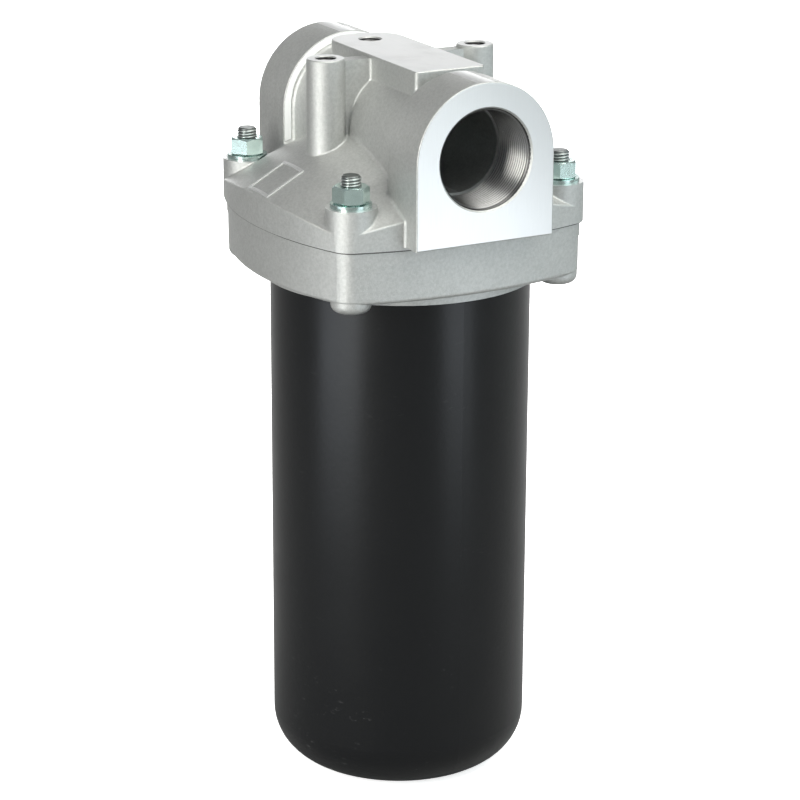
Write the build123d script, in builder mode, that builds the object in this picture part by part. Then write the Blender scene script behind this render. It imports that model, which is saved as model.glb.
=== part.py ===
from build123d import *
import math
import os

# In-line hydraulic filter housing: a cast head with two threaded ports, a clamp ring on four studs
# and a deep bowl with the filter element inside. Millimetres, Z up. The origin is the centre of the
# bowl's foot. X is the port axis: the inlet is at -X, the outlet at +X.

# Levels above the foot
joint_z = 355.0  # face where the clamp ring meets the head
port_rise = 51.0  # port axis above the joint
top_rise = 95.8  # machined pad and post tops above the joint

# Head: port blocks and barrel
port_to_port = 206.6
port_block_length = 35.5
port_block_half_width = 45.0
barrel_half_width = 38.0
port_block_rise = 1.8  # underside of the overhanging port blocks above the joint
face_edge_break = 0.8

# Ports: parallel pipe thread, size 2
port_thread_radius = 29.807
port_thread_length = 35.0
port_mouth_chamfer = 1.0
passage_radius = 27.0

# Flange outline, shared by the head and the clamp ring
bolt_wall = 5.6  # metal between the recess for the bowl's flange and the studs
corner_radius = 14.8
side_bulge_x = 9.9  # how far the side arcs stand out from the line of the corners
side_bulge_y = 13.4

# Dome of the head: an arc of a rim, a middle and a crown, each at a rise above the joint
dome_overhang = 14.0  # rim beyond the bolt circle
dome_rim_rise = 10.0
dome_middle_inset = 37.0  # middle inside the rim
dome_middle_rise = 31.5
dome_crown_radius = 30.0
dome_crown_rise = 53.0

# Bolt bosses
boss_rise = 24.0
stud_clearance_radius = 6.75

# Fillets between the forms of the head
dome_rim_fillet = 1.2
block_back_fillet = 0.8
barrel_end_fillet = 2.5
root_fillet = 2.0

# Top pad with the indicator port
pad_half_width = 23.0
pad_front_x = 61.0
pad_rear_x = -59.0
pad_rear_corner = 17.0
pad_front_corner = 2.5
indicator_x = -40.0
indicator_thread_radius = 6.58
indicator_thread_length = 13.0
indicator_mouth_chamfer = 0.8
sensing_hole_radius = 2.5

# Mounting posts and their webs
post_radius = 11.4
post_gap = 0.9  # between a post and the side of the barrel
post_thread_radius = 6.0
post_thread_length = 24.0
post_mouth_chamfer = 0.6
web_thickness = 10.0
web_drop = 1.8
web_fillet = 2.0
foot_fillet = 1.2
top_edge_break = 0.6

# Raised frame on the slope, left bare inside
plate_width = 26.0
plate_length = 24.0
plate_edge_distance = 14.0  # middle of the frame inside the flange's side
plate_proud = 0.8
plate_rim = 1.4

# Inside of the head
chamber_inset = 8.2  # chamber wall inside the bowl's inner wall
chamber_wall = 8.0
outlet_tube_wall = 5.0
outlet_end_x = -22.0
divider_wall = 7.0
inlet_end_x = -34.0
spigot_radius = 26.0
spigot_bore_radius = 19.0
spigot_drop = 18.0

# Clamp ring
ring_gap = 0.4  # open line between the head and the ring
ring_height = 32.0
ring_band_height = 8.5
ring_band_inset = 1.9
ring_body_inset = 2.5
ring_edge_break = 0.7
ring_bottom_fillet = 2.5
ring_collar_wall = 5.0
ring_collar_drop = 37.6
ring_boss_drop = 38.2
ring_boss_radius = 12.0
ring_boss_fillet = 5.0
ring_bore_clearance = 0.4

# Bowl
bowl_radius = 79.2
bowl_wall = 4.0
bowl_corner = 30.0
bowl_flange_width = 6.8
bowl_flange_height = 9.0
bowl_flange_clearance = 0.4

# Seal between bowl and head
seal_groove_offset = 1.2  # middle of the groove outside the bowl's side
seal_groove_width = 4.6
seal_groove_depth = 3.2
seal_clearance = 0.05
seal_corner = 1.2

# Studs, nuts and washers, size 12
stud_radius = 6.0
stud_thread_clearance = 0.05
stud_end_chamfer = 1.3
stud_top_rise = 42.6
stud_seat_drop = 31.0
stud_hole_extra = 2.0
washer_radius = 12.1
washer_bore_radius = 6.5
washer_thickness = 2.5
washer_seat_clearance = 1.0
nut_across_flats = 19.0
nut_height = 10.0
nut_chamfer_start = 9.1  # radius of the flat end circle
nut_chamfer_angle = 30.0
nut_turns = (11.8, 33.8, 31.8, 50.0)  # turn of each nut about its stud, degrees

# Filter element
element_cap_radius = 61.5
element_cap_thickness = 2.0
element_cap_rim_height = 9.0
element_cap_rim_wall = 1.5
element_top_drop = 24.0  # top face of the upper end cap below the joint
neck_wall = 4.0
neck_height = 19.0
neck_clearance = 0.3
media_radius = 59.0
media_inner_radius = 41.0
media_fold_count = 60
media_peak_offset = 4.0
media_valley_offset = 1.6
core_tube_radius = 40.7
core_tube_wall = 1.5
core_hole_radius = 7.0
core_hole_rows = 6
core_hole_columns = 6

# Seal between element and spigot
neck_seal_height = 3.4
neck_seal_depth = 2.2
neck_seal_corner = 1.0
neck_seal_drop = 11.0  # centre of the groove below the joint

# Support spring under the element
support_spring_height = 35.0  # room between the bowl's floor and the lower end cap
support_spring_radius = 44.0
support_spring_wire = 2.0
support_spring_turns = 3.0

# Bypass valve in the lower end cap
seat_radius = 21.0
seat_clearance = 0.05
seat_flange_radius = 25.0
seat_flange_thickness = 2.0
seat_body_height = 7.0
seat_hole_radius = 14.0
cage_leg_count = 3
cage_leg_radius = 18.5
cage_leg_size = (3.0, 5.0)
cage_height = 33.0
poppet_radius = 16.0
poppet_thickness = 3.0
poppet_lift_gap = 0.3
stem_radius = 4.0
stem_clearance = 0.08
spring_seat_gap = 0.05
stem_length = 42.0
retainer_thickness = 2.5
bypass_spring_radius = 8.5
bypass_spring_wire = 0.9
bypass_spring_turns = 5.0

# Values worked out from the driving dimensions
port_z = joint_z + port_rise
top_z = joint_z + top_rise
port_face_x = port_to_port / 2
shoulder_x = port_face_x - port_block_length
post_half_spacing = barrel_half_width + post_radius + post_gap
bowl_inner_radius = bowl_radius - bowl_wall
bowl_flange_radius = bowl_radius + bowl_flange_width
bowl_recess_radius = bowl_flange_radius + bowl_flange_clearance
ring_bore_radius = bowl_radius + ring_bore_clearance
ring_collar_radius = ring_bore_radius + ring_collar_wall
seal_groove_radius = bowl_radius + seal_groove_offset
chamber_radius = bowl_inner_radius - chamber_inset
bolt_circle_radius = bowl_recess_radius + bolt_wall + stud_radius
bolt_half_spacing = bolt_circle_radius / math.sqrt(2)
side_half_x = bolt_half_spacing + corner_radius + side_bulge_x
side_half_y = bolt_half_spacing + corner_radius + side_bulge_y
dome_rim_radius = bolt_circle_radius + dome_overhang
dome_middle_radius = dome_rim_radius - dome_middle_inset
plate_centre_y = plate_edge_distance - side_half_y
bolt_points = [
    (bolt_half_spacing, -bolt_half_spacing),
    (-bolt_half_spacing, -bolt_half_spacing),
    (bolt_half_spacing, bolt_half_spacing),
    (-bolt_half_spacing, bolt_half_spacing),
]
ring_top_z = joint_z - ring_gap
bowl_ledge_z = joint_z - bowl_flange_height
boss_z = joint_z + boss_rise
nut_z = boss_z + washer_thickness
spigot_z = joint_z - spigot_drop
element_top_z = joint_z - element_top_drop
media_top_z = element_top_z - element_cap_thickness
element_bottom_z = bowl_wall + support_spring_height
media_bottom_z = element_bottom_z + element_cap_thickness
media_height = media_top_z - media_bottom_z
seat_face_z = element_bottom_z + seat_body_height
retainer_z = seat_face_z + cage_height
poppet_z = seat_face_z + poppet_lift_gap
seal_z = joint_z - neck_seal_drop

os.makedirs("parts", exist_ok=True)


def side_arc_radius(half_width):
    """Radius of the flange's side arc that is tangent to the corners round the bolts."""
    step = bolt_half_spacing - half_width
    span = bolt_half_spacing**2 + step**2 - corner_radius**2
    return span / (2 * (half_width - bolt_half_spacing - corner_radius))


def flange_outline(level, inset):
    """Outline of the flange at a level, drawn in by an inset."""
    radius_x = side_arc_radius(side_half_x) - inset
    radius_y = side_arc_radius(side_half_y) - inset
    offset_x = side_half_x - inset - radius_x
    offset_y = side_half_y - inset - radius_y
    with BuildSketch(Plane.XY.offset(level)) as outline:
        with Locations((offset_x, 0)):
            Circle(radius_x)
        with Locations((-offset_x, 0)):
            Circle(radius_x, mode=Mode.INTERSECT)
        with Locations((0, offset_y)):
            Circle(radius_y, mode=Mode.INTERSECT)
        with Locations((0, -offset_y)):
            Circle(radius_y, mode=Mode.INTERSECT)
        fillet(outline.vertices(), radius=corner_radius - inset)
    return outline.sketch_local


def arch_outline(half_width, base_z):
    """Upright arch of the port blocks and the barrel, on the plane across the port axis."""
    with BuildSketch(Plane.YZ) as arch:
        with Locations((0, port_z)):
            Circle(half_width)
        with Locations((0, base_z)):
            Rectangle(2 * half_width, port_z - base_z, align=(Align.CENTER, Align.MIN))
    return arch.sketch_local


def arc_rise(radius):
    """Rise of the dome above the joint at a radius, on the arc through its three points."""
    r1, r2, r3 = dome_rim_radius, dome_middle_radius, dome_crown_radius
    h1, h2, h3 = dome_rim_rise, dome_middle_rise, dome_crown_rise
    d = 2 * (r1 * (h2 - h3) + r2 * (h3 - h1) + r3 * (h1 - h2))
    s1, s2, s3 = r1**2 + h1**2, r2**2 + h2**2, r3**2 + h3**2
    centre_r = (s1 * (h2 - h3) + s2 * (h3 - h1) + s3 * (h1 - h2)) / d
    centre_h = (s1 * (r3 - r2) + s2 * (r1 - r3) + s3 * (r2 - r1)) / d
    arc = math.hypot(r1 - centre_r, h1 - centre_h)
    return centre_h + math.copysign(math.sqrt(arc**2 - (radius - centre_r) ** 2), h1 - centre_h)


def dome_profile(radius, lift):
    """Half section under the dome out to a radius, raised or lowered by a lift."""
    middle_r = (radius + dome_crown_radius) / 2
    rim = (radius, joint_z + arc_rise(radius) + lift)
    middle = (middle_r, joint_z + arc_rise(middle_r) + lift)
    crown = (dome_crown_radius, joint_z + dome_crown_rise + lift)
    with BuildSketch(Plane.XZ) as section:
        with BuildLine():
            ThreePointArc(rim, middle, crown)
            Polyline(crown, (0, crown[1]), (0, joint_z), (radius, joint_z), rim)
        make_face()
    return section.sketch_local


def points_on(edge):
    """A few points along an edge."""
    return [edge @ share for share in (0.0, 0.25, 0.5, 0.75, 1.0)]


def lies_on_dome(edge):
    """Whether an edge runs along the surface of the dome."""
    for point in points_on(edge):
        radius = math.hypot(point.X, point.Y)
        if radius < dome_crown_radius or abs(point.Z - joint_z - arc_rise(radius)) > 0.25:
            return False
    return True


def arch_distance(point):
    """Distance of a point from the port axis, measured level below the axis."""
    return math.hypot(point.Y, max(0, point.Z - port_z))


# Raised frame, following the dome
with BuildPart() as plate_frame:
    with BuildSketch(Plane.XY.offset(joint_z)):
        with Locations((0, plate_centre_y)):
            Rectangle(plate_width, plate_length)
            Rectangle(plate_width - 2 * plate_rim, plate_length - 2 * plate_rim, mode=Mode.SUBTRACT)
    extrude(amount=port_rise)
    with BuildSketch(Plane.XZ):
        add(dome_profile(dome_rim_radius, plate_proud))
    revolve(axis=Axis.Z, mode=Mode.INTERSECT)

with BuildPart() as domed_flange:
    # Flange, trimmed from above by the dome
    with BuildSketch(Plane.XY.offset(joint_z)):
        add(flange_outline(0, 0))
    extrude(amount=port_rise)
    with BuildSketch(Plane.XZ):
        add(dome_profile(dome_rim_radius, 0))
    revolve(axis=Axis.Z, mode=Mode.INTERSECT)

    # Bolt bosses, blended into the dome
    with BuildSketch(Plane.XY.offset(joint_z)):
        with Locations(*bolt_points):
            Circle(corner_radius)
    extrude(amount=boss_rise)
    fillet([edge for edge in domed_flange.edges() if lies_on_dome(edge)], radius=dome_rim_fillet)

with BuildPart() as head_casting:
    # Barrel and the two port blocks
    with BuildSketch(Plane.YZ):
        add(arch_outline(barrel_half_width, joint_z))
    extrude(amount=shoulder_x, both=True)
    for side in (-1, 1):
        with BuildSketch(Plane.YZ.offset(side * shoulder_x)):
            add(arch_outline(port_block_half_width, joint_z + port_block_rise))
        extrude(amount=side * port_block_length)
    back_edges = [
        edge
        for edge in head_casting.edges()
        if all(
            abs(abs(point.X) - shoulder_x) < 0.01 and arch_distance(point) > port_block_half_width - 0.1
            for point in points_on(edge)
        )
    ]
    fillet(back_edges, radius=block_back_fillet)
    face_edges = [
        edge
        for edge in head_casting.edges()
        if all(abs(abs(point.X) - port_face_x) < 0.01 for point in points_on(edge))
    ]
    fillet(face_edges, radius=face_edge_break)

    # Flange with its dome, blended into the barrel and the blocks
    add(domed_flange.part)
    barrel_ends = [
        edge
        for edge in head_casting.edges()
        if all(
            abs(abs(point.X) - shoulder_x) < 0.01
            and abs(arch_distance(point) - barrel_half_width) < 0.01
            and point.Z > joint_z + boss_rise
            for point in points_on(edge)
        )
    ]
    fillet(barrel_ends, radius=barrel_end_fillet)
    root_edges = [
        edge
        for edge in head_casting.edges()
        if lies_on_dome(edge) and all(abs(point.Y) < port_block_half_width + 0.1 for point in points_on(edge))
    ]
    fillet(root_edges, radius=root_fillet)

    # Pad, mounting posts and the webs between them
    with BuildSketch(Plane.XY.offset(joint_z)) as upper_outline:
        with BuildLine():
            Polyline(
                (pad_front_x, -pad_half_width),
                (pad_front_x, pad_half_width),
                (pad_rear_x, pad_half_width),
                (pad_rear_x, -pad_half_width),
                close=True,
            )
        make_face()
        fillet(upper_outline.vertices().group_by(Axis.X)[0], radius=pad_rear_corner)
        fillet(upper_outline.vertices().group_by(Axis.X)[-1], radius=pad_front_corner)
        Rectangle(web_thickness, 2 * post_half_spacing)
        with Locations((0, -post_half_spacing), (0, post_half_spacing)):
            Circle(post_radius)
        web_corners = [
            vertex
            for vertex in upper_outline.vertices()
            if abs(abs(vertex.X) - web_thickness / 2) < 0.01 and abs(vertex.Y) < post_half_spacing
        ]
        fillet(web_corners, radius=web_fillet)
    extrude(amount=top_rise - web_drop)
    with BuildSketch(Plane.XY.offset(top_z - web_drop)) as pad_outline:
        with BuildLine():
            Polyline(
                (pad_front_x, -pad_half_width),
                (pad_front_x, pad_half_width),
                (pad_rear_x, pad_half_width),
                (pad_rear_x, -pad_half_width),
                close=True,
            )
        make_face()
        fillet(pad_outline.vertices().group_by(Axis.X)[0], radius=pad_rear_corner)
        fillet(pad_outline.vertices().group_by(Axis.X)[-1], radius=pad_front_corner)
        with Locations((0, -post_half_spacing), (0, post_half_spacing)):
            Circle(post_radius)
    extrude(amount=web_drop)
    foot_edges = [
        edge
        for edge in head_casting.edges()
        if lies_on_dome(edge)
        and all(
            abs(math.hypot(point.X, abs(point.Y) - post_half_spacing) - post_radius) < 0.02
            for point in points_on(edge)
        )
    ]
    fillet(foot_edges, radius=foot_fillet)
    top_edges = head_casting.faces().filter_by(Axis.Z).group_by(Axis.Z)[-1].edges()
    chamfer(top_edges, length=top_edge_break)

    # Raised frame on the slope
    add(plate_frame.part)

    # Annular chamber under the dome
    with BuildSketch(Plane.XZ):
        add(dome_profile(chamber_radius, -chamber_wall))
    revolve(axis=Axis.Z, mode=Mode.SUBTRACT)

    # Outlet tube across the chamber and the spigot below it
    with BuildSketch(Plane.YZ.offset(outlet_end_x - divider_wall)):
        with Locations((0, port_z)):
            Circle(passage_radius + outlet_tube_wall)
    extrude(amount=port_face_x - port_thread_length - outlet_end_x + divider_wall)
    with BuildSketch(Plane.XY.offset(spigot_z)):
        Circle(spigot_radius)
    extrude(amount=port_z - spigot_z)

    # Passages
    with BuildSketch(Plane.YZ.offset(outlet_end_x)):
        with Locations((0, port_z)):
            Circle(passage_radius)
    extrude(amount=port_face_x - outlet_end_x, mode=Mode.SUBTRACT)
    with BuildSketch(Plane.YZ.offset(-port_face_x)):
        with Locations((0, port_z)):
            Circle(passage_radius)
    extrude(amount=port_face_x + inlet_end_x, mode=Mode.SUBTRACT)
    with BuildSketch(Plane.XY.offset(spigot_z)):
        Circle(spigot_bore_radius)
    extrude(amount=port_z - spigot_z, mode=Mode.SUBTRACT)

    # Threaded port holes with chamfered mouths
    for side in (-1, 1):
        with BuildSketch(Plane.YZ.offset(side * port_face_x)):
            with Locations((0, port_z)):
                Circle(port_thread_radius)
        extrude(amount=-side * port_thread_length, mode=Mode.SUBTRACT)
    port_mouths = [
        edge
        for edge in head_casting.edges().filter_by(GeomType.CIRCLE)
        if abs(edge.radius - port_thread_radius) < 0.01 and abs(abs(edge.center().X) - port_face_x) < 0.01
    ]
    chamfer(port_mouths, length=port_mouth_chamfer)

    # Indicator port with its sensing hole
    with BuildSketch(Plane.XY.offset(top_z)):
        with Locations((indicator_x, 0)):
            Circle(indicator_thread_radius)
    extrude(amount=-indicator_thread_length, mode=Mode.SUBTRACT)
    with BuildSketch(Plane.XY.offset(top_z)):
        with Locations((indicator_x, 0)):
            Circle(sensing_hole_radius)
    extrude(amount=port_z - top_z, mode=Mode.SUBTRACT)

    # Tapped holes in the posts
    with BuildSketch(Plane.XY.offset(top_z)):
        with Locations((0, -post_half_spacing), (0, post_half_spacing)):
            Circle(post_thread_radius)
    extrude(amount=-post_thread_length, mode=Mode.SUBTRACT)

    # Chamfered mouths of the holes in the top
    mouths = [
        edge for edge in head_casting.edges().filter_by(GeomType.CIRCLE) if edge.center().Z > top_z - 0.01
    ]
    indicator_mouth = [edge for edge in mouths if abs(edge.radius - indicator_thread_radius) < 0.01]
    chamfer(indicator_mouth, length=indicator_mouth_chamfer)
    mouths = [
        edge for edge in head_casting.edges().filter_by(GeomType.CIRCLE) if edge.center().Z > top_z - 0.01
    ]
    post_mouths = [edge for edge in mouths if abs(edge.radius - post_thread_radius) < 0.01]
    chamfer(post_mouths, length=post_mouth_chamfer)

    # Seats for the washers and clearance holes for the studs
    with BuildSketch(Plane.XY.offset(boss_z)):
        with Locations(*bolt_points):
            Circle(washer_radius + washer_seat_clearance)
    extrude(amount=washer_thickness + nut_height, mode=Mode.SUBTRACT)
    with BuildSketch(Plane.XY.offset(joint_z)):
        with Locations(*bolt_points):
            Circle(stud_clearance_radius)
    extrude(amount=boss_rise, mode=Mode.SUBTRACT)

head_casting.part.label = "head_casting"
export_step(head_casting.part, "parts/head_casting.step")


with BuildPart() as clamp_ring:
    with BuildSketch(Plane.XY.offset(ring_top_z - ring_band_height)):
        add(flange_outline(0, ring_band_inset))
    extrude(amount=ring_band_height)
    with BuildSketch(Plane.XY.offset(joint_z - ring_height)):
        add(flange_outline(0, ring_body_inset))
    extrude(amount=ring_height - ring_gap - ring_band_height)
    lower_edges = clamp_ring.faces().sort_by(Axis.Z)[0].edges()
    fillet(lower_edges, radius=ring_bottom_fillet)
    upper_edges = clamp_ring.faces().sort_by(Axis.Z)[-1].edges()
    fillet(upper_edges, radius=ring_edge_break)

    # Collar round the bowl
    with BuildSketch(Plane.XY.offset(joint_z - ring_collar_drop)):
        Circle(ring_collar_radius)
    extrude(amount=ring_collar_drop - ring_height + ring_bottom_fillet)

    # Bosses round the studs
    with BuildSketch(Plane.XY.offset(joint_z - ring_boss_drop)):
        with Locations(*bolt_points):
            Circle(ring_boss_radius)
    extrude(amount=ring_boss_drop - ring_height + ring_bottom_fillet)
    boss_edges = clamp_ring.edges().filter_by(GeomType.CIRCLE).group_by(Axis.Z)[0]
    fillet(boss_edges, radius=ring_boss_fillet)

    # Recess for the bowl's flange, bore and stud holes
    with BuildSketch(Plane.XY.offset(bowl_ledge_z)):
        Circle(bowl_recess_radius)
    extrude(amount=bowl_flange_height, mode=Mode.SUBTRACT)
    with BuildSketch(Plane.XY.offset(joint_z - ring_boss_drop)):
        Circle(ring_bore_radius)
    extrude(amount=ring_boss_drop, mode=Mode.SUBTRACT)
    with BuildSketch(Plane.XY.offset(joint_z)):
        with Locations(*bolt_points):
            Circle(stud_radius + stud_thread_clearance)
    extrude(amount=-(stud_seat_drop + stud_hole_extra), mode=Mode.SUBTRACT)

clamp_ring.part.label = "clamp_ring"
export_step(clamp_ring.part, "parts/clamp_ring.step")


with BuildPart() as bowl:
    inner_corner = bowl_corner - bowl_wall
    outer_bend = bowl_corner * (1 - math.sqrt(0.5))
    inner_bend = bowl_wall + inner_corner * (1 - math.sqrt(0.5))
    with BuildSketch(Plane.XZ):
        with BuildLine():
            Line((0, 0), (bowl_radius - bowl_corner, 0))
            ThreePointArc(
                (bowl_radius - bowl_corner, 0),
                (bowl_radius - outer_bend, outer_bend),
                (bowl_radius, bowl_corner),
            )
            Polyline(
                (bowl_radius, bowl_corner),
                (bowl_radius, bowl_ledge_z),
                (bowl_flange_radius, bowl_ledge_z),
                (bowl_flange_radius, joint_z),
                (bowl_inner_radius, joint_z),
                (bowl_inner_radius, bowl_corner),
            )
            ThreePointArc(
                (bowl_inner_radius, bowl_corner),
                (bowl_inner_radius - inner_bend + bowl_wall, inner_bend),
                (bowl_radius - bowl_corner, bowl_wall),
            )
            Polyline((bowl_radius - bowl_corner, bowl_wall), (0, bowl_wall), (0, 0))
        make_face()
    revolve(axis=Axis.Z)
    with BuildSketch(Plane.XY.offset(joint_z)):
        Circle(seal_groove_radius + seal_groove_width / 2)
        Circle(seal_groove_radius - seal_groove_width / 2, mode=Mode.SUBTRACT)
    extrude(amount=-seal_groove_depth, mode=Mode.SUBTRACT)

bowl.part.label = "bowl"
export_step(bowl.part, "parts/bowl.step")


with BuildPart() as bowl_seal:
    with BuildSketch(Plane.XZ):
        with Locations((seal_groove_radius, joint_z - seal_groove_depth / 2)):
            RectangleRounded(seal_groove_width - 2 * seal_clearance, seal_groove_depth, seal_corner)
    revolve(axis=Axis.Z)

bowl_seal.part.label = "bowl_seal"
export_step(bowl_seal.part, "parts/bowl_seal.step")


for number, (bolt_x, bolt_y) in enumerate(bolt_points, start=1):
    with BuildPart() as stud:
        with BuildSketch(Plane.XY.offset(joint_z - stud_seat_drop)):
            with Locations((bolt_x, bolt_y)):
                Circle(stud_radius)
        extrude(amount=stud_seat_drop + stud_top_rise)
        chamfer(stud.edges().filter_by(GeomType.CIRCLE), length=stud_end_chamfer)
    stud.part.label = f"stud_{number}"
    export_step(stud.part, f"parts/stud_{number}.step")

    with BuildPart() as washer:
        with BuildSketch(Plane.XY.offset(boss_z)):
            with Locations((bolt_x, bolt_y)):
                Circle(washer_radius)
                Circle(washer_bore_radius, mode=Mode.SUBTRACT)
        extrude(amount=washer_thickness)
    washer.part.label = f"washer_{number}"
    export_step(washer.part, f"parts/washer_{number}.step")

    with BuildPart() as nut:
        corner = nut_across_flats / math.sqrt(3)
        flat_drop = (corner - nut_chamfer_start) * math.tan(math.radians(nut_chamfer_angle))
        with BuildSketch(Plane.XY.offset(nut_z)):
            with Locations((bolt_x, bolt_y)):
                RegularPolygon(corner, 6, rotation=nut_turns[number - 1])
        extrude(amount=nut_height)
        with BuildSketch(Plane(origin=(bolt_x, bolt_y, 0), x_dir=(1, 0, 0), z_dir=(0, -1, 0))):
            with BuildLine():
                Polyline(
                    (0, nut_z),
                    (nut_chamfer_start, nut_z),
                    (corner, nut_z + flat_drop),
                    (corner, nut_z + nut_height - flat_drop),
                    (nut_chamfer_start, nut_z + nut_height),
                    (0, nut_z + nut_height),
                    close=True,
                )
            make_face()
        revolve(axis=Axis((bolt_x, bolt_y, 0), (0, 0, 1)), mode=Mode.INTERSECT)
        with BuildSketch(Plane.XY.offset(nut_z)):
            with Locations((bolt_x, bolt_y)):
                Circle(stud_radius + stud_thread_clearance)
        extrude(amount=nut_height, mode=Mode.SUBTRACT)
    nut.part.label = f"nut_{number}"
    export_step(nut.part, f"parts/nut_{number}.step")


with BuildPart() as element_top_cap:
    neck_bore = spigot_radius + neck_clearance
    with BuildSketch(Plane.XZ):
        with BuildLine():
            Polyline(
                (neck_bore, media_top_z),
                (element_cap_radius - element_cap_rim_wall, media_top_z),
                (element_cap_radius - element_cap_rim_wall, element_top_z - element_cap_rim_height),
                (element_cap_radius, element_top_z - element_cap_rim_height),
                (element_cap_radius, element_top_z),
                (neck_bore + neck_wall, element_top_z),
                (neck_bore + neck_wall, element_top_z + neck_height),
                (neck_bore, element_top_z + neck_height),
                close=True,
            )
        make_face()
        with Locations((neck_bore, seal_z)):
            Rectangle(
                neck_seal_depth,
                neck_seal_height,
                align=(Align.MIN, Align.CENTER),
                mode=Mode.SUBTRACT,
            )
    revolve(axis=Axis.Z)

element_top_cap.part.label = "element_top_cap"
export_step(element_top_cap.part, "parts/element_top_cap.step")


with BuildPart() as element_neck_seal:
    with BuildSketch(Plane.XZ):
        with Locations((spigot_radius + seal_clearance, seal_z)):
            RectangleRounded(
                neck_clearance + neck_seal_depth - 2 * seal_clearance,
                neck_seal_height - 2 * seal_clearance,
                neck_seal_corner,
                align=(Align.MIN, Align.CENTER),
            )
    revolve(axis=Axis.Z)

element_neck_seal.part.label = "element_neck_seal"
export_step(element_neck_seal.part, "parts/element_neck_seal.step")


def fold_points(peak_radius, valley_radius):
    """Points of a closed folded line between a peak radius and a valley radius."""
    points = []
    for step in range(2 * media_fold_count):
        radius = valley_radius if step % 2 else peak_radius
        turn = math.pi * step / media_fold_count
        points.append((radius * math.cos(turn), radius * math.sin(turn)))
    return points


with BuildPart() as element_media:
    with BuildSketch(Plane.XY.offset(media_bottom_z)):
        with BuildLine():
            Polyline(*fold_points(media_radius, media_inner_radius + media_valley_offset), close=True)
        make_face()
        with BuildLine():
            Polyline(*fold_points(media_radius - media_peak_offset, media_inner_radius), close=True)
        make_face(mode=Mode.SUBTRACT)
    extrude(amount=media_height)

element_media.part.label = "element_media"
export_step(element_media.part, "parts/element_media.step")


with BuildPart() as element_core_tube:
    with BuildSketch(Plane.XY.offset(media_bottom_z)):
        Circle(core_tube_radius)
        Circle(core_tube_radius - core_tube_wall, mode=Mode.SUBTRACT)
    extrude(amount=media_height)
    row_step = media_height / core_hole_rows
    for row in range(core_hole_rows):
        for column in range(core_hole_columns // 2):
            turn = 360 / core_hole_columns * (column + 0.5 * (row % 2))
            height = media_bottom_z + row_step * (row + 0.5)
            across = Plane(origin=(0, 0, height), z_dir=Vector(1, 0, 0).rotate(Axis.Z, turn))
            with BuildSketch(across):
                Circle(core_hole_radius)
            extrude(amount=core_tube_radius + core_tube_wall, both=True, mode=Mode.SUBTRACT)

element_core_tube.part.label = "element_core_tube"
export_step(element_core_tube.part, "parts/element_core_tube.step")


with BuildPart() as element_bottom_cap:
    with BuildSketch(Plane.XY.offset(element_bottom_z)):
        Circle(element_cap_radius)
    extrude(amount=element_cap_rim_height)
    with BuildSketch(Plane.XY.offset(media_bottom_z)):
        Circle(element_cap_radius - element_cap_rim_wall)
    extrude(amount=element_cap_rim_height, mode=Mode.SUBTRACT)
    with BuildSketch(Plane.XY.offset(element_bottom_z)):
        Circle(seat_radius + seat_clearance)
    extrude(amount=element_cap_thickness, mode=Mode.SUBTRACT)

element_bottom_cap.part.label = "element_bottom_cap"
export_step(element_bottom_cap.part, "parts/element_bottom_cap.step")


with BuildPart() as bypass_seat:
    with BuildSketch(Plane.XY.offset(element_bottom_z - seat_flange_thickness)):
        Circle(seat_flange_radius)
    extrude(amount=seat_flange_thickness)
    with BuildSketch(Plane.XY.offset(element_bottom_z)):
        Circle(seat_radius)
    extrude(amount=seat_body_height)
    with BuildSketch(Plane.XY.offset(element_bottom_z)):
        with PolarLocations(cage_leg_radius, cage_leg_count):
            Rectangle(*cage_leg_size)
    extrude(amount=seat_body_height + cage_height)
    with BuildSketch(Plane.XY.offset(element_bottom_z - seat_flange_thickness)):
        Circle(seat_hole_radius)
    extrude(amount=seat_flange_thickness + seat_body_height, mode=Mode.SUBTRACT)

bypass_seat.part.label = "bypass_seat"
export_step(bypass_seat.part, "parts/bypass_seat.step")


with BuildPart() as bypass_poppet:
    with BuildSketch(Plane.XY.offset(poppet_z)):
        Circle(poppet_radius)
    extrude(amount=poppet_thickness)
    with BuildSketch(Plane.XY.offset(poppet_z)):
        Circle(stem_radius)
    extrude(amount=stem_length)

bypass_poppet.part.label = "bypass_poppet"
export_step(bypass_poppet.part, "parts/bypass_poppet.step")


with BuildPart() as bypass_retainer:
    with BuildSketch(Plane.XY.offset(retainer_z)):
        Circle(seat_radius)
        Circle(stem_radius + stem_clearance, mode=Mode.SUBTRACT)
    extrude(amount=retainer_thickness)

bypass_retainer.part.label = "bypass_retainer"
export_step(bypass_retainer.part, "parts/bypass_retainer.step")


def spring_line(bottom, top, wire, gap):
    """Start level and height of a wire's centre line between two seats."""
    start = bottom + wire + gap
    return start, top - wire - gap - start


with BuildPart() as bypass_spring:
    start_z, rise = spring_line(
        poppet_z + poppet_thickness, retainer_z, bypass_spring_wire, spring_seat_gap
    )
    with BuildLine():
        coil = Helix(
            pitch=rise / bypass_spring_turns,
            height=rise,
            radius=bypass_spring_radius,
            center=(0, 0, start_z),
        )
    with BuildSketch(Plane(origin=coil @ 0, z_dir=coil % 0)):
        Circle(bypass_spring_wire)
    sweep(path=coil, is_frenet=True)

bypass_spring.part.label = "bypass_spring"
export_step(bypass_spring.part, "parts/bypass_spring.step")


with BuildPart() as element_spring:
    start_z, rise = spring_line(bowl_wall, element_bottom_z, support_spring_wire, spring_seat_gap)
    with BuildLine():
        coil = Helix(
            pitch=rise / support_spring_turns,
            height=rise,
            radius=support_spring_radius,
            center=(0, 0, start_z),
        )
    with BuildSketch(Plane(origin=coil @ 0, z_dir=coil % 0)):
        Circle(support_spring_wire)
    sweep(path=coil, is_frenet=True)

element_spring.part.label = "element_spring"
export_step(element_spring.part, "parts/element_spring.step")
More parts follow.
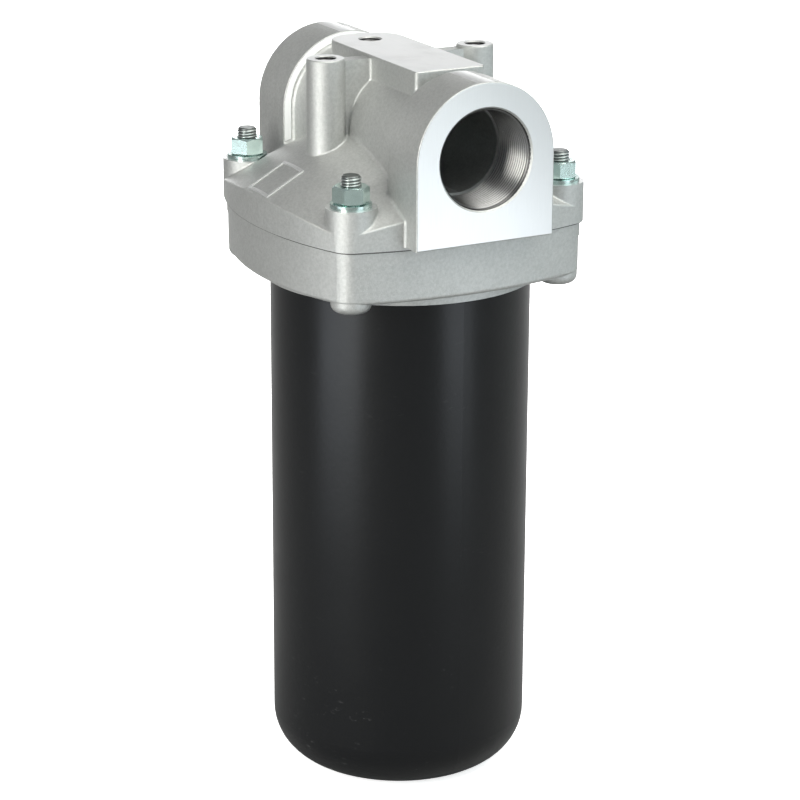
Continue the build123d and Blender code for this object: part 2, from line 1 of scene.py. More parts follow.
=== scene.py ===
"""In-line hydraulic filter housing: surfaces, threads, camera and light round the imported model."""

import math

import bpy
from bpy.props import FloatProperty, FloatVectorProperty, IntProperty, PointerProperty
from bpy.types import Operator, Panel, PropertyGroup
from mathutils import Matrix, Vector


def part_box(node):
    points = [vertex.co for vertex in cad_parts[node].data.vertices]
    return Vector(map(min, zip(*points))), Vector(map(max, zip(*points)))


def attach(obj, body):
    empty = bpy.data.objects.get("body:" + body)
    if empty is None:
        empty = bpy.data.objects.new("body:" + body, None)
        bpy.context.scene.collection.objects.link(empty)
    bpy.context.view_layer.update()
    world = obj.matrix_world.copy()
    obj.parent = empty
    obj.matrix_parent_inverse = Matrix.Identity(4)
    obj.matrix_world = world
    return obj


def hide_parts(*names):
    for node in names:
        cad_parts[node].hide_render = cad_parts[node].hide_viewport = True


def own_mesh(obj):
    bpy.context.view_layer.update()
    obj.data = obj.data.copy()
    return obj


bl_info = {
    "name": "Filter housing",
    "version": (1, 0, 0),
    "blender": (4, 5, 0),
    "location": "View3D > Sidebar > Housing",
    "description": "Builds the threads, surfaces and stage of a hydraulic filter housing",
    "category": "Object",
}

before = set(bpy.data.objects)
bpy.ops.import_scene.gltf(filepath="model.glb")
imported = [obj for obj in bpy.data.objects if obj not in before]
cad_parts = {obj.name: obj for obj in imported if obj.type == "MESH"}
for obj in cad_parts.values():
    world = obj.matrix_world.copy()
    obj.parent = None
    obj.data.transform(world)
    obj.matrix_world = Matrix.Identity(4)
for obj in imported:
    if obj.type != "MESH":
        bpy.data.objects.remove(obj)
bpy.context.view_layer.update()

FAR_AWAY = 9.0  # a place that no surface of the part reaches
SQUARE = 0.985  # share of a face's direction along an axis from which it counts as square to it
SEAT_SQUARE = 0.99  # the same for the washers' seats
WALL_TILT = 0.6  # a face that points up or down by less than this counts as a side wall
FACE_REACH = 0.00015  # how far under a machined face a point still belongs to it
SEAT_REACH = 0.00012  # how far from the washers' level a point still belongs to a seat
EDGE_REACH = 0.0002  # how far from a shoulder or a bar a point still belongs to it

# One pitch of a thread: place along the pitch, and height from root (0) to crest (1).
THREAD_FORM = ((0.0, 1.0), (0.17, 1.0), (0.34, 0.5), (0.50, 0.0), (0.67, 0.0), (0.84, 0.5))
ROOT_GAP = 0.00002  # keeps a hole's thread roots just inside the wall of its solid
CAP_RIDGE = 0.6  # the studs' flat ends take the painted shade of this height on the thread
PORT_SEGMENTS = 96  # steps round a port's thread
HOLE_SEGMENTS = 48  # steps round the thread of a smaller hole
STUD_SEGMENTS = 36  # steps round a stud's thread

CLOSED_TURN = 0.9  # length of the closed turn at each end of the coil, in turns
COIL_STEPS = 40  # steps along one turn of the coil
COIL_SIDES = 12  # steps round the coil's wire

SENSOR_WIDTH = 36.0  # millimetres
CLIP_START = 0.05
FLOOR_LEVEL = -0.0003  # just under the bowl's foot
FLOOR_SEGMENTS = 96

WHITE = (1.0, 1.0, 1.0)
COOL = (0.85, 0.98, 1.0)
WARM = (1.0, 0.99, 0.94)
BLUE = (0.86, 0.92, 1.0)
SKY = (0.97, 0.98, 1.0)

# Name, place, point that it faces, width and height, colour. Each lamp's power is a setting.
LAMPS = (
    ("key", (2.1, 0.85, 0.95), (0.0, 0.0, 0.30), (1.5, 1.5), COOL),
    ("top", (0.8, 0.4, 2.0), (0.0, 0.0, 0.30), (1.8, 1.8), WARM),
    ("front", (0.72, -1.75, 0.85), (0.0, 0.0, 0.30), (0.32, 1.4), WARM),
    ("back", (-2.3, 1.25, 0.50), (0.0, 0.0, 0.50), (2.8, 0.8), WHITE),
    ("right", (0.68, 0.26, 0.14), (0.0, 0.0, 0.14), (0.30, 0.24), BLUE),
    ("left", (0.13, -0.74, 0.10), (0.0, 0.0, 0.10), (0.50, 0.18), BLUE),
    ("side", (0.35, 1.75, 0.55), (0.0, 0.0, 0.35), (0.9, 0.9), COOL),
    ("rear", (-1.5, -0.95, 0.5), (0.0, 0.0, 0.35), (0.9, 0.9), WARM),
    ("backdrop", (-1.2, 0.65, 0.44), (-1.2, 0.65, 0.0), (1.8, 1.2), WHITE),
)


def colour(name, description, default):
    """A linear colour property."""
    return FloatVectorProperty(
        name=name, description=description, subtype="COLOR", size=3, min=0.0, max=1.0, default=default
    )


def number(name, description, default, unit="NONE"):
    """A number property, with Blender's unit where it has one."""
    return FloatProperty(name=name, description=description, default=default, unit=unit, precision=4)


def length(name, description, default):
    """A length property in metres."""
    return FloatProperty(name=name, description=description, default=default, unit="LENGTH", precision=5)


class CastingSettings(PropertyGroup):
    """Sizes and colours of the two castings."""

    cast_colour: colour("Cast colour", "Colour of the as-cast skin", (0.50, 0.51, 0.50))
    machined_colour: colour("Machined colour", "Colour of the machined faces", (0.70, 0.71, 0.71))
    # The threads' colour is set darker than the machined faces, as painted shade for the inside of the
    # holes.
    thread_colour_with_shade: colour("Thread colour", "Colour of the cut threads", (0.34, 0.34, 0.34))
    # This colour, darkened, also paints the shade along the joint between head and ring.
    dirt_and_shade_colour: colour("Dirt colour", "Colour of the fine specks in the cast skin", (0.22, 0.22, 0.21))
    grain_size: length("Grain size", "Size of the sand grain in the cast skin", 0.0006)
    grain_height: length("Grain height", "Height of the sand grain", 0.00026)
    top_level: length("Top level", "Level of the machined pad and post tops", 0.4508)
    # The dark line is painted shade of the gap between head and ring.
    joint_height: length("Joint height", "Half the height of the dark line between head and ring", 0.0006)
    block_length: length("Block length", "Length of a port block", 0.0355)
    plate_width: length("Plate width", "Width of the raised frame on the slope", 0.026)
    plate_length: length("Plate length", "Length of the raised frame on the slope", 0.024)
    plate_rim: length("Plate rim", "Width of the raised frame's bars", 0.0014)
    plate_edge: length("Plate edge", "Middle of the frame inside the head's left side", 0.014)


class ThreadSettings(PropertyGroup):
    """Sizes of the threads."""

    port_level: length("Port level", "Level of the port axis", 0.406)
    port_major: length("Port major radius", "Root radius of the port thread", 0.029807)
    port_minor: length("Port minor radius", "Crest radius of the port thread", 0.028328)
    port_pitch: length("Port pitch", "Pitch of the port thread", 0.0023091)
    port_depth: length("Port depth", "Length of the threaded wall", 0.035)
    port_chamfer: length("Port chamfer", "Chamfer on a port's mouth", 0.001)
    post_spacing: length("Post half spacing", "Distance of a mounting post from the middle", 0.0503)
    post_depth: length("Post depth", "Depth of the tapped holes in the posts", 0.024)
    post_chamfer: length("Post chamfer", "Chamfer on the mouth of a post's hole", 0.0006)
    metric_major: length("Metric major radius", "Major radius of the studs and the post threads", 0.006)
    metric_minor: length("Metric minor radius", "Minor radius of the studs and the post threads", 0.00512)
    metric_pitch: length("Metric pitch", "Pitch of the studs and the post threads", 0.00175)
    indicator_place: length("Indicator place", "Place of the indicator port along the port axis", -0.04)
    indicator_major: length("Indicator major radius", "Root radius of the indicator thread", 0.00658)
    indicator_minor: length("Indicator minor radius", "Crest radius of the indicator thread", 0.00572)
    indicator_pitch: length("Indicator pitch", "Pitch of the indicator thread", 0.001337)
    indicator_depth: length("Indicator depth", "Depth of the indicator thread", 0.013)
    indicator_chamfer: length("Indicator chamfer", "Chamfer on the indicator port's mouth", 0.0008)
    stud_chamfer: length("Stud chamfer", "Chamfer on the studs' ends", 0.0013)


class SpringSettings(PropertyGroup):
    """Sizes of the bypass valve's spring."""

    radius: length("Coil radius", "Radius of the wire's middle line", 0.0085)
    wire: length("Wire radius", "Radius of the wire", 0.0009)
    turns: IntProperty(name="Open turns", description="Turns between the closed ends", default=4)


class FinishSettings(PropertyGroup):
    """Colours of the other pieces."""

    bowl_colour: colour("Bowl colour", "Black paint of the bowl", (0.0015, 0.002, 0.0028))
    zinc_colour: colour("Zinc colour", "Zinc plating of nuts and washers", (0.74, 0.92, 0.88))
    stud_colour: colour("Stud colour", "Plated steel of the studs", (0.50, 0.54, 0.53))
    tin_colour: colour("Tin colour", "Tinned sheet of the element", (0.62, 0.62, 0.60))
    media_colour: colour("Media colour", "Fleece of the element", (0.80, 0.77, 0.66))
    mesh_colour: colour("Mesh colour", "Wire mesh over the fleece", (0.35, 0.35, 0.34))
    mesh_pitch: length("Mesh pitch", "Pitch of the wire mesh over the fleece", 0.0011)
    alloy_colour: colour("Alloy colour", "Turned alloy of the valve seat", (0.66, 0.66, 0.65))
    valve_colour: colour("Valve colour", "Turned steel of the valve disc", (0.48, 0.48, 0.48))
    spring_colour: colour("Spring colour", "Drawn wire of the springs", (0.36, 0.36, 0.37))
    rubber_colour: colour("Rubber colour", "Black rubber of the seals", (0.018, 0.018, 0.018))


class StageSettings(PropertyGroup):
    """Camera, floor and light."""

    target_level: length("Target level", "Level of the point that the camera circles", 0.355)
    camera_distance: length("Camera distance", "Distance of the camera from that point", 1.745998)
    camera_azimuth: number("Camera azimuth", "Direction of the camera's place, degrees", 61.778)
    camera_elevation: number("Camera elevation", "Height angle of the camera's place, degrees", 14.384)
    camera_yaw: number("Camera yaw", "Direction the camera looks from, degrees", 61.771)
    camera_pitch: number("Camera pitch", "How far the camera looks down, degrees", 18.219)
    camera_roll: number("Camera roll", "Roll of the camera, degrees", 0.259)
    camera_lens: number("Camera lens", "Focal length on a 36 mm sensor", 129.684, "CAMERA")
    floor_colour: colour("Floor colour", "Colour of the floor", (0.86, 0.86, 0.86))
    floor_bounce: colour("Floor bounce", "Colour of the floor as the object sees it", (0.32, 0.32, 0.32))
    floor_glow: number("Floor glow", "White that only the camera sees on the floor", 0.72)
    floor_radius: length("Floor radius", "Radius of the floor", 6.0)
    sky_strength: number("Sky strength", "Strength of the even light from all round", 0.30)
    key_power: number("Key power", "Large light at the right", 14.5, "POWER")
    top_power: number("Top power", "Large light overhead", 40.0, "POWER")
    front_power: number("Front power", "Upright light at the front left", 37.0, "POWER")
    back_power: number("Back power", "Wide light behind", 27.0, "POWER")
    right_power: number("Right power", "Low light at the right", 0.52, "POWER")
    left_power: number("Left power", "Low light at the left", 0.85, "POWER")
    side_power: number("Side power", "Light beyond the right side", 5.5, "POWER")
    rear_power: number("Rear power", "Light beyond the left rear", 0.8, "POWER")
    backdrop_power: number("Backdrop power", "Light on the floor behind", 13.0, "POWER")


class HousingSettings(PropertyGroup):
    """All settings of the filter housing."""

    casting: PointerProperty(type=CastingSettings)
    thread: PointerProperty(type=ThreadSettings)
    spring: PointerProperty(type=SpringSettings)
    finish: PointerProperty(type=FinishSettings)
    stage: PointerProperty(type=StageSettings)


class Wire:
    """A shader socket that takes part in plain arithmetic."""

    def __init__(self, tree, socket):
        self.tree = tree
        self.socket = socket

    def math(self, operation, *others):
        """A Math node fed by this value and others."""
        values = dict(enumerate((self,) + others))
        return self.tree.make("ShaderNodeMath", {"operation": operation}, values)["Value"]

    def __add__(self, other):
        return self.math("ADD", other)

    __radd__ = __add__

    def __mul__(self, other):
        return self.math("MULTIPLY", other)

    __rmul__ = __mul__

    def __sub__(self, other):
        return self.math("SUBTRACT", other)

    def __rsub__(self, other):
        return (self * -1.0) + other

    def __pow__(self, other):
        return self.math("POWER", other)

    def __gt__(self, other):
        return self.math("GREATER_THAN", other)

    def __lt__(self, other):
        return self.math("LESS_THAN", other)

    def __abs__(self):
        return self.math("ABSOLUTE")

    def larger(self, other):
        """The larger of this value and another."""
        return self.math("MAXIMUM", other)

    def sin(self):
        """Sine of this value."""
        return self.math("SINE")

    def ramp(self, low, high):
        """0 up to low, 1 from high on and smooth between; low may be the larger of the two."""
        return self.tree.make(
            "ShaderNodeMapRange",
            {"interpolation_type": "SMOOTHSTEP"},
            {"Value": self, "From Min": low, "From Max": high},
        )["Result"]


class Tree:
    """The node tree of a material or a world."""

    def __init__(self, owner):
        owner.use_nodes = True
        self.nodes = owner.node_tree.nodes
        self.links = owner.node_tree.links
        self.nodes.clear()

    def feed(self, socket, value):
        """Links a wire to a socket, or sets a constant on it."""
        if isinstance(value, Wire):
            self.links.new(value.socket, socket)
        elif socket.type == "RGBA":
            socket.default_value = (*value, 1.0)
        else:
            socket.default_value = value

    def make(self, kind, settings=None, inputs=None):
        """Adds a node and returns its outputs by name."""
        node = self.nodes.new(kind)
        for name, value in (settings or {}).items():
            setattr(node, name, value)
        for name, value in (inputs or {}).items():
            self.feed(node.inputs[name], value)
        return {output.name: Wire(self, output) for output in node.outputs if output.enabled}


class Surface(Tree):
    """A material's node tree, with the place on the object and the textures that materials use."""

    def __init__(self, name):
        self.material = bpy.data.materials.new(name)
        super().__init__(self.material)
        self.where = self.make("ShaderNodeTexCoord")["Object"]
        split = self.make("ShaderNodeSeparateXYZ", {}, {"Vector": self.where})
        self.x = split["X"]
        self.y = split["Y"]
        self.z = split["Z"]

    def noise(self, scale, detail=2.0, roughness=0.5, where=None):
        """Smooth noise between 0 and 1, with scale swells to the metre."""
        return self.make(
            "ShaderNodeTexNoise",
            {},
            {"Vector": where or self.where, "Scale": scale, "Detail": detail, "Roughness": roughness},
        )["Fac"]

    def cells(self, scale):
        """Distance to the nearest of scattered points."""
        inputs = {"Vector": self.where, "Scale": scale}
        return self.make("ShaderNodeTexVoronoi", {}, inputs)["Distance"]

    def stretched(self, x, y, z):
        """The place, stretched along each axis."""
        inputs = {0: self.where, 1: (x, y, z)}
        return self.make("ShaderNodeVectorMath", {"operation": "MULTIPLY"}, inputs)["Vector"]

    def mix(self, amount, first, second):
        """A colour between two colours; sockets 6 and 7 are the node's colours."""
        inputs = {0: amount, 6: first, 7: second}
        return self.make("ShaderNodeMix", {"data_type": "RGBA"}, inputs)["Result"]

    def facing(self):
        """The sideways and the upward part of the surface's direction."""
        normal = self.make("ShaderNodeNewGeometry")["Normal"]
        parts = self.make("ShaderNodeSeparateXYZ", {}, {"Vector": normal})
        return parts["X"], parts["Z"]

    def bump(self, height, distance):
        """A normal from a height."""
        return self.make("ShaderNodeBump", {}, {"Height": height, "Distance": distance})["Normal"]

    def finish(self, **inputs):
        """Adds the surface shader; names use _ for spaces."""
        named = {name.replace("_", " "): value for name, value in inputs.items()}
        shader = self.make("ShaderNodeBsdfPrincipled", {}, named)
        self.make("ShaderNodeOutputMaterial", {}, {"Surface": shader["BSDF"]})
        return self.material


def shade(tint, factor):
    """A colour made darker or lighter."""
    return tuple(min(1.0, part * factor) for part in tint)


def dusty(tint, amount):
    """A colour with the same amount added to its red, green and blue."""
    return tuple(part + amount for part in tint)


def frame_mask(tree, settings, middle):
    """1 on the bars of the raised frame, whose middle lies at a place across the port axis."""
    across = abs(tree.x) - settings.plate_width / 2
    along = abs(tree.y - middle) - settings.plate_length / 2
    outside = across.larger(along)
    return (outside < EDGE_REACH) * (outside > -settings.plate_rim - EDGE_REACH)


def cast_material(
    settings,
    name,
    joint_level,
    port_face=FAR_AWAY,
    pad_level=FAR_AWAY,
    seat_level=FAR_AWAY,
    plate_middle=FAR_AWAY,
):
    """Sand-cast skin that turns into a machined face at given places, with painted shade along the joint
    and on the port faces' upper right, and painted highlights on the block shoulders and the frame's bars.
    """
    tree = Surface(name)
    side, up = tree.facing()
    square = abs(side) > SQUARE
    port = (abs(tree.x) > port_face - FACE_REACH) * square
    top = (tree.z > pad_level - FACE_REACH) * (up > SQUARE)
    seat = (abs(tree.z - seat_level) < SEAT_REACH) * (up > SEAT_SQUARE)
    shoulder = (abs(abs(tree.x) - port_face + settings.block_length) < EDGE_REACH) * square
    machined = port.larger(top).larger(seat).larger(shoulder)
    worn = frame_mask(tree, settings, plate_middle)
    joint_shade = (abs(tree.z - joint_level) < settings.joint_height) * (abs(up) < WALL_TILT)

    patches = tree.noise(28.0, detail=3.0, roughness=0.6)
    mottle = tree.noise(520.0, detail=3.0, roughness=0.75).ramp(0.25, 0.75)
    specks = tree.cells(900.0).ramp(0.16, 0.06) * tree.noise(120.0).ramp(0.48, 0.70)
    light = shade(settings.cast_colour, 1.12)
    dark = shade(settings.cast_colour, 0.80)
    skin = tree.mix(patches * 0.4 + mottle * 0.6, dark, light)
    skin = tree.mix(specks * 0.55, skin, settings.dirt_and_shade_colour)
    # The frame's bars are lightened towards the machined colour, partly as wear and partly as a painted
    # highlight that shows them up.
    skin = tree.mix(worn * 0.8, skin, settings.machined_colour)

    marks = tree.noise(1.0, detail=1.0, where=tree.stretched(20.0, 2600.0, 60.0))
    smudge = tree.noise(38.0, detail=3.0, roughness=0.6).ramp(0.48, 0.72) * top
    # Painted shade: the port faces darken towards their upper right, where less light falls on them.
    port_painted_shade = (tree.y * 1.6 + tree.z * 0.8).ramp(0.30, 0.42) * port
    bright = tree.mix(marks * 0.25, settings.machined_colour, settings.cast_colour)
    bright = tree.mix(smudge * 0.22, bright, shade(settings.cast_colour, 0.7))
    bright = tree.mix(port_painted_shade * 0.38, bright, shade(settings.machined_colour, 0.55))
    # Painted highlight: the port blocks' shoulders are lightened beyond the machined colour.
    bright = tree.mix(shoulder, bright, shade(settings.machined_colour, 1.4))

    body = tree.mix(machined, skin, bright)
    # Painted shade: a dark band along the joint between head and ring.
    body = tree.mix(joint_shade * 0.95, body, shade(settings.dirt_and_shade_colour, 0.3))

    grain = tree.noise(1.0 / settings.grain_size, detail=3.0, roughness=0.7)
    pits = tree.cells(1.1 / settings.grain_size).ramp(0.45, 0.10)
    swell = tree.noise(90.0)
    rest = 1.0 - machined
    height = (grain * 0.85 - pits * 0.15 + swell * 0.7) * rest + marks * machined * 0.05
    skin_rough = grain * 0.12 - worn * 0.08 + 0.39
    cut_rough = marks * 0.08 + shoulder * 0.45 + 0.30
    return tree.finish(
        Base_Color=body,
        Metallic=0.82,
        Roughness=skin_rough * rest + cut_rough * machined,
        Normal=tree.bump(height, settings.grain_height),
    )


def metal_material(name, tint, rough, stretch, wear, groove_shade=0.0):
    """Bare or plated metal with fine marks along one direction and, on threads, painted shade down in the
    roots.
    """
    tree = Surface(name)
    marks = tree.noise(1.0, roughness=0.6, where=tree.stretched(*stretch))
    cloud = tree.noise(160.0, detail=3.0, roughness=0.6)
    stain = tree.noise(420.0, roughness=0.7).ramp(0.55, 0.75)
    body = tree.mix(cloud.ramp(0.35, 0.70), tint, shade(tint, 1.0 - wear))
    body = tree.mix(stain * wear, body, shade(tint, 0.55))
    # Painted shade: thread roots darkened by their depth.
    if groove_shade:
        ridge = tree.make("ShaderNodeAttribute", {"attribute_name": "ridge"})["Fac"]
        body = tree.mix(ridge.ramp(0.95, 0.25) * groove_shade, body, shade(tint, 0.12))
    return tree.finish(
        Base_Color=body,
        Metallic=1.0,
        Roughness=cloud * 0.16 + marks * 0.08 + rough - 0.12,
        Normal=tree.bump(marks * 0.6 + stain * 0.4, 0.00003),
    )


def paint_material(name, tint):
    """Smooth black paint with faint orange peel, dust and a few scuffs low down."""
    tree = Surface(name)
    peel = tree.noise(330.0)
    long_wave = tree.noise(26.0)
    dust = tree.noise(900.0, detail=3.0, roughness=0.7).ramp(0.60, 0.80)
    low = tree.z.ramp(0.11, 0.02)
    scrape = tree.noise(1.0, roughness=0.6, where=tree.stretched(160.0, 160.0, 420.0)).ramp(0.63, 0.72)
    patch = tree.noise(34.0, detail=1.0).ramp(0.52, 0.66)
    scuff = scrape * patch * (low * 0.7 + 0.08)
    worn = dusty(tint, 0.055)
    body = tree.mix(scuff, tint, worn)
    body = tree.mix(dust * 0.10, body, worn)
    return tree.finish(
        Base_Color=body,
        Roughness=long_wave * 0.10 + dust * 0.05 + scuff * 0.25 + 0.25,
        Specular_IOR_Level=0.36,
        Normal=tree.bump(peel * 0.7 + scuff * 0.3, 0.00006),
    )


def rubber_material(name, tint):
    """Matt black rubber with a fine moulded grain."""
    tree = Surface(name)
    grain = tree.noise(1400.0, detail=3.0, roughness=0.6)
    bloom = tree.noise(90.0).ramp(0.45, 0.75)
    return tree.finish(
        Base_Color=tree.mix(bloom * 0.5, tint, dusty(tint, 0.02)),
        Roughness=grain * 0.2 + 0.55,
        Normal=tree.bump(grain, 0.00004),
    )


def fleece_material(name, tint, mesh_tint, mesh_pitch):
    """Pleated fleece under a fine wire mesh."""
    tree = Surface(name)
    fibres = tree.noise(1.0, detail=4.0, roughness=0.7, where=tree.stretched(900.0, 900.0, 260.0))
    rows = abs((tree.z * (math.pi / mesh_pitch)).sin()) ** 6.0
    body = tree.mix(fibres, shade(tint, 0.82), tint)
    return tree.finish(
        Base_Color=tree.mix(rows * 0.35, body, mesh_tint),
        Roughness=fibres * 0.2 + 0.70,
        Normal=tree.bump(fibres * 0.6 + rows * 0.4, 0.0002),
    )


def mesh_piece(name, vertices, faces, ridges, material, slot, *replaced):
    """A new smooth mesh that rides on the housing; ridges holds each point's height on the thread."""
    mesh = bpy.data.meshes.new(name)
    mesh.from_pydata(vertices, [], faces)
    mesh.attributes.new("ridge", "FLOAT", "POINT").data.foreach_set("value", ridges)
    mesh.update()
    for polygon in mesh.polygons:
        polygon.use_smooth = True
    piece = bpy.data.objects.new(name, mesh)
    bpy.context.scene.collection.objects.link(piece)
    mesh.materials.append(material)
    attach(piece, "housing")
    if replaced:
        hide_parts(*replaced)
    return piece


def thread_rows(start, end, pitch, major, minor, around, limit):
    """Rows of points along a helix: (angle, travel, radius), clamped between start and end.

    limit gives the allowed radius from a travel and a radius."""
    rows = []
    turns = int(math.ceil((end - start) / pitch)) + 1
    for turn in range(-1, turns + 1):
        for place, fullness in THREAD_FORM:
            row = []
            for step in range(around + 1):
                travel = start + pitch * (turn + place + step / around)
                travel = min(end, max(start, travel))
                radius = limit(travel, minor + (major - minor) * fullness)
                row.append((2.0 * math.pi * step / around, travel, radius))
            rows.append(row)
    return rows


def rows_to_mesh(rows, place, flip):
    """Vertices and faces of a grid of rows, each point set down by place(angle, travel, radius)."""
    vertices = [place(*point) for row in rows for point in row]
    width = len(rows[0])
    faces = []
    for level in range(len(rows) - 1):
        for step in range(width - 1):
            travels = {point[1] for row in rows[level : level + 2] for point in row[step : step + 2]}
            if len(travels) == 1:
                continue
            first = level * width + step
            corners = (first, first + 1, first + 1 + width, first + width)
            faces.append(tuple(reversed(corners)) if flip else corners)
    return vertices, faces


def in_hole(mouth, inward, across, beside):
    """The rule that sets down a point (angle, travel, radius) in a hole with a given mouth."""

    def place(angle, travel, radius):
        first = radius * math.cos(angle)
        second = radius * math.sin(angle)
        return tuple(
            mouth[axis] + inward[axis] * travel + across[axis] * first + beside[axis] * second
            for axis in range(3)
        )

    return place


def hole_thread(name, place, flip, material, pitch, major, minor, depth, chamfer, around):
    """Thread ridges on the wall of a round hole, cut back by the mouth's chamfer."""

    def limit(travel, radius):
        return max(radius, major + chamfer - travel)

    rows = thread_rows(chamfer, depth, pitch, major - ROOT_GAP, minor, around, limit)
    vertices, faces = rows_to_mesh(rows, place, flip)
    ridges = [(major - point[2]) / (major - minor) for row in rows for point in row]
    return mesh_piece(name, vertices, faces, ridges, material, "cast_head")


def stud_mesh(sizes, node):
    """A stud threaded over its whole length, with chamfered ends and flat caps, in a node's place."""
    low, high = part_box(node)
    x = (low[0] + high[0]) / 2
    y = (low[1] + high[1]) / 2
    bottom = low[2]
    top = high[2]
    major = sizes.metric_major
    minor = sizes.metric_minor
    end_radius = major - sizes.stud_chamfer

    def limit(travel, radius):
        return min(radius, end_radius + travel - bottom, end_radius + top - travel)

    def place(angle, travel, radius):
        return (x + radius * math.cos(angle), y + radius * math.sin(angle), travel)

    rows = thread_rows(bottom, top, sizes.metric_pitch, major, minor, STUD_SEGMENTS, limit)
    vertices, faces = rows_to_mesh(rows, place, False)
    ridges = [(point[2] - minor) / (major - minor) for row in rows for point in row]
    width = len(rows[0])
    for level, row in ((bottom, 0), (top, len(rows) - 1)):
        centre = len(vertices)
        vertices.append((x, y, level))
        ridges.append(CAP_RIDGE)
        for step in range(width - 1):
            first = row * width + step
            faces.append((centre, first + 1, first) if row == 0 else (centre, first, first + 1))
    return vertices, faces, ridges


def coil_mesh(node, radius, wire, turns):
    """A wound spring in a node's place: open turns between one closed turn at each end."""
    low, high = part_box(node)
    bottom = low[2] + wire
    top = high[2] - wire
    total = turns + 2.0
    steps = int(total * COIL_STEPS)
    open_rise = top - bottom - 4.0 * CLOSED_TURN * wire
    vertices = []
    for step in range(steps + 1):
        turn = total * step / steps
        opened = min(1.0, max(0.0, (turn - CLOSED_TURN) / (total - 2.0 * CLOSED_TURN)))
        closed = min(turn, CLOSED_TURN) + max(0.0, turn - total + CLOSED_TURN)
        level = bottom + 2.0 * wire * closed + opened * open_rise
        angle = 2.0 * math.pi * turn
        for side in range(COIL_SIDES):
            tilt = 2.0 * math.pi * side / COIL_SIDES
            reach = radius + wire * math.cos(tilt)
            rise = wire * math.sin(tilt)
            vertices.append((reach * math.cos(angle), reach * math.sin(angle), level + rise))
    faces = []
    for step in range(steps):
        for side in range(COIL_SIDES):
            this = step * COIL_SIDES + side
            beside = step * COIL_SIDES + (side + 1) % COIL_SIDES
            faces.append((this, this + COIL_SIDES, beside + COIL_SIDES, beside))
    faces.append(tuple(range(COIL_SIDES)))
    faces.append(tuple(reversed(range(steps * COIL_SIDES, (steps + 1) * COIL_SIDES))))
    return vertices, faces, [1.0] * len(vertices)


def settings_of(context):
    """The housing's settings in a scene."""
    return context.scene.filter_housing


def port_face_distance():
    """Distance of the port faces from the middle."""
    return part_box("head_casting")[1][0]


def paint_nodes(material, *names):
    """Gives CAD nodes a material."""
    for name in names:
        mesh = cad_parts[name].data
        mesh.materials.clear()
        mesh.materials.append(material)


class HOUSING_OT_castings(Operator):
    """Gives the head and the clamp ring their cast and machined surfaces"""

    bl_idname = "housing.castings"
    bl_label = "Finish castings"

    def execute(self, context):
        settings = settings_of(context).casting
        joint_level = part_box("clamp_ring")[1][2]
        head = cast_material(
            settings,
            "cast_head",
            joint_level,
            port_face=port_face_distance(),
            pad_level=settings.top_level,
            seat_level=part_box("washer_1")[0][2],
            plate_middle=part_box("head_casting")[0][1] + settings.plate_edge,
        )
        paint_nodes(head, "head_casting")
        paint_nodes(cast_material(settings, "cast_ring", joint_level), "clamp_ring")
        return {"FINISHED"}


class HOUSING_OT_threads(Operator):
    """Cuts the threads in the ports, the indicator port and the mounting posts"""

    bl_idname = "housing.threads"
    bl_label = "Add hole threads"

    def execute(self, context):
        sizes = settings_of(context).thread
        casting = settings_of(context).casting
        # Painted shade: the thread metal is darker than the machined faces, for the inside of the holes.
        material = metal_material(
            "thread_metal",
            casting.thread_colour_with_shade,
            rough=0.31,
            stretch=(1500.0, 300.0, 300.0),
            wear=0.12,
            groove_shade=0.95,
        )
        port = {
            "pitch": sizes.port_pitch,
            "major": sizes.port_major,
            "minor": sizes.port_minor,
            "depth": sizes.port_depth,
            "chamfer": sizes.port_chamfer,
            "around": PORT_SEGMENTS,
        }
        post = {
            "pitch": sizes.metric_pitch,
            "major": sizes.metric_major,
            "minor": sizes.metric_minor,
            "depth": sizes.post_depth,
            "chamfer": sizes.post_chamfer,
            "around": HOLE_SEGMENTS,
        }
        indicator = {
            "pitch": sizes.indicator_pitch,
            "major": sizes.indicator_major,
            "minor": sizes.indicator_minor,
            "depth": sizes.indicator_depth,
            "chamfer": sizes.indicator_chamfer,
            "around": HOLE_SEGMENTS,
        }
        port_face = port_face_distance()
        for name, side in (("outlet_thread", 1), ("inlet_thread", -1)):
            mouth = (side * port_face, 0.0, sizes.port_level)
            place = in_hole(mouth, inward=(-side, 0, 0), across=(0, 1, 0), beside=(0, 0, 1))
            hole_thread(name, place, side < 0, material, **port)
        for name, x, y, form in (
            ("post_thread_left", 0.0, -sizes.post_spacing, post),
            ("post_thread_right", 0.0, sizes.post_spacing, post),
            ("indicator_thread", sizes.indicator_place, 0.0, indicator),
        ):
            mouth = (x, y, casting.top_level)
            place = in_hole(mouth, inward=(0, 0, -1), across=(1, 0, 0), beside=(0, 1, 0))
            hole_thread(name, place, False, material, **form)
        return {"FINISHED"}


